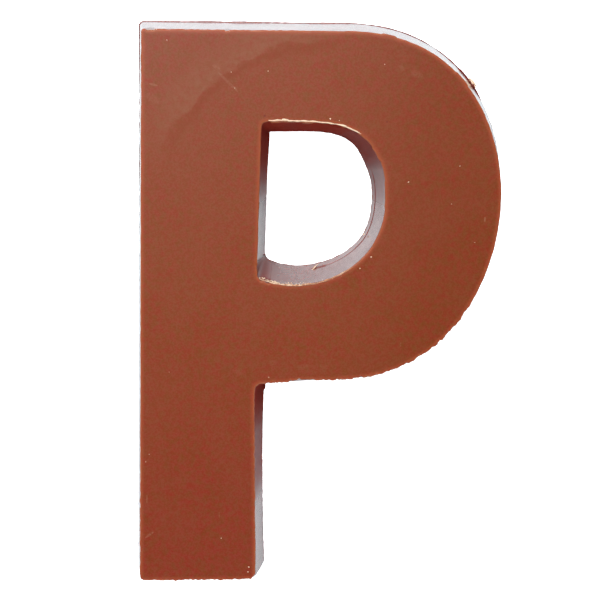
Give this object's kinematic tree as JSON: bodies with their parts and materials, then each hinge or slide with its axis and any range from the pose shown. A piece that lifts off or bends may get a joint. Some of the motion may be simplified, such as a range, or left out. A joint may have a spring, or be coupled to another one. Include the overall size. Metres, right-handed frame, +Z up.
{
  "type": "chocolate letter",
  "caption": "Solid moulded milk chocolate block letter P with tapered walls and a D-shaped counter, lying face up on its flat poured back.",
  "frame": {"origin": "centre of the letter's box, on the plane of its flat back", "axes": "+X to the letter's right, +Y to its top, +Z up out of its moulded face"},
  "size_m": [0.0862, 0.133, 0.016],
  "materials": {
    "milk_chocolate": "satin moulded face, glossier side walls"
  },
  "bodies": {
    "root": {"letter": "milk_chocolate"}
  },
  "joints": []
}
